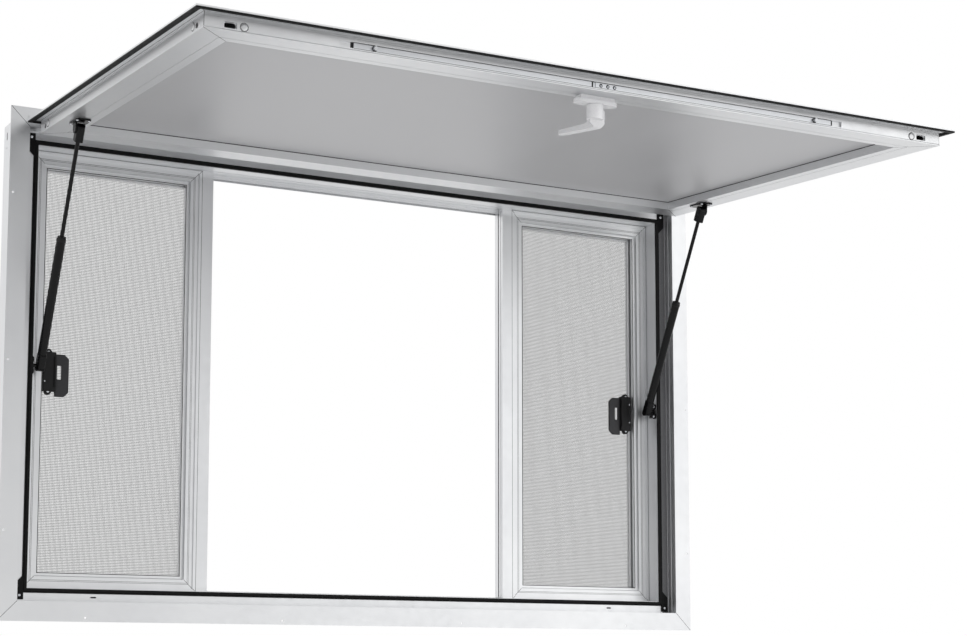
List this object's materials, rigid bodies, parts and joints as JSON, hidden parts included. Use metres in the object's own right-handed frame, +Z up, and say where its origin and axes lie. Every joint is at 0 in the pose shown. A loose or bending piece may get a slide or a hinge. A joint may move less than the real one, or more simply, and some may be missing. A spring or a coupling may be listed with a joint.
{
  "type": "concession window",
  "caption": "Aluminium serving window with a lift-up awning door on gas struts, side lights with insect screens, a lock handle and a screw flange.",
  "frame": {"origin": "back face of the wall flange, at its middle, on the screw line of the sill flange", "axes": "+X to the right seen from the street, +Y into the building, +Z up"},
  "size_m": [1.6, 1.0743, 1.016],
  "materials": {
    "aluminium_extrusion": "satin anodised",
    "awning_sheet": "satin",
    "lining_panel": "satin, grey",
    "seal_rubber": "matte",
    "screen_mesh": "woven mesh",
    "black_nylon": "matte",
    "black_steel": "black",
    "handle_casting": "satin",
    "lock_steel": "brushed"
  },
  "bodies": {
    "window": {"frame_head": "aluminium_extrusion", "frame_sill": "aluminium_extrusion", "frame_left_jamb": "aluminium_extrusion", "frame_right_jamb": "aluminium_extrusion", "hinge_rail": "aluminium_extrusion", "weather_seal": "seal_rubber", "seal_corner_blocks": "seal_rubber", "mullion_left": "aluminium_extrusion", "mullion_right": "aluminium_extrusion", "light_left_top_rail": "aluminium_extrusion", "light_left_bottom_rail": "aluminium_extrusion", "light_left_left_stile": "aluminium_extrusion", "light_left_right_stile": "aluminium_extrusion", "light_right_top_rail": "aluminium_extrusion", "light_right_bottom_rail": "aluminium_extrusion", "light_right_left_stile": "aluminium_extrusion", "light_right_right_stile": "aluminium_extrusion", "sash_left": "aluminium_extrusion", "sash_right": "aluminium_extrusion", "screen_left": "screen_mesh", "screen_right": "screen_mesh", "latch_left": "black_nylon", "latch_right": "black_nylon", "strut_bracket_lower_left": "black_steel", "strut_bracket_lower_right": "black_steel"},
    "awning": {"awning_top_rail": "aluminium_extrusion", "awning_bottom_rail": "aluminium_extrusion", "awning_left_rail": "aluminium_extrusion", "awning_right_rail": "aluminium_extrusion", "awning_skin": "awning_sheet", "awning_panel": "lining_panel", "awning_seal": "seal_rubber", "handle_base": "handle_casting", "strut_bracket_upper_left": "black_steel", "strut_bracket_upper_right": "black_steel"},
    "handle": {"handle_lever": "handle_casting"},
    "lock": {"lock_bar_left": "lock_steel", "lock_bar_right": "lock_steel", "lock_drive_block": "lock_steel"},
    "strut_rod_left_body": {"strut_rod_left": "black_steel"},
    "strut_rod_right_body": {"strut_rod_right": "black_steel"},
    "strut_cylinder_left_body": {"strut_cylinder_left": "black_steel"},
    "strut_cylinder_right_body": {"strut_cylinder_right": "black_steel"}
  },
  "joints": [
    {"name": "awning_hinge", "type": "hinge", "parent": "window", "child": "awning", "pos_m": [0, -0.0115, 0.9775], "axis": [1, 0, 0], "range_deg": [0, 87]},
    {"name": "handle_turn", "type": "hinge", "parent": "awning", "child": "handle", "pos_m": [0, -0.90071, 0.90086], "axis": [0, 0.0523, -0.9986], "range_deg": [0, 90]},
    {"name": "lock_slide", "type": "slide", "parent": "awning", "child": "lock", "axis": [1, 0, 0], "range_m": [0, 0.018]},
    {"name": "strut_left_upper_pivot", "type": "hinge", "parent": "awning", "child": "strut_rod_left_body", "pos_m": [-0.716, -0.18695, 0.92424], "axis": [1, 0, 0], "range_deg": [-113.62, 0]},
    {"name": "strut_left_slide", "type": "slide", "parent": "strut_rod_left_body", "child": "strut_cylinder_left_body", "axis": [0, -0.4716, 0.8818], "range_m": [0, 0.18195]},
    {"name": "strut_right_upper_pivot", "type": "hinge", "parent": "awning", "child": "strut_rod_right_body", "pos_m": [0.716, -0.18695, 0.92424], "axis": [1, 0, 0], "range_deg": [-113.62, 0]},
    {"name": "strut_right_slide", "type": "slide", "parent": "strut_rod_right_body", "child": "strut_cylinder_right_body", "axis": [0, -0.4716, 0.8818], "range_m": [0, 0.18195]}
  ],
  "couplings": [
    {"joint": "lock_slide", "follows": "handle_turn", "m_per_rad": 0.011459},
    {"joint": "strut_left_upper_pivot", "follows": "awning_hinge", "ratio": -1.3049},
    {"joint": "strut_left_slide", "follows": "awning_hinge", "m_per_rad": 0.1197},
    {"joint": "strut_right_upper_pivot", "follows": "awning_hinge", "ratio": -1.3049},
    {"joint": "strut_right_slide", "follows": "awning_hinge", "m_per_rad": 0.1197}
  ]
}
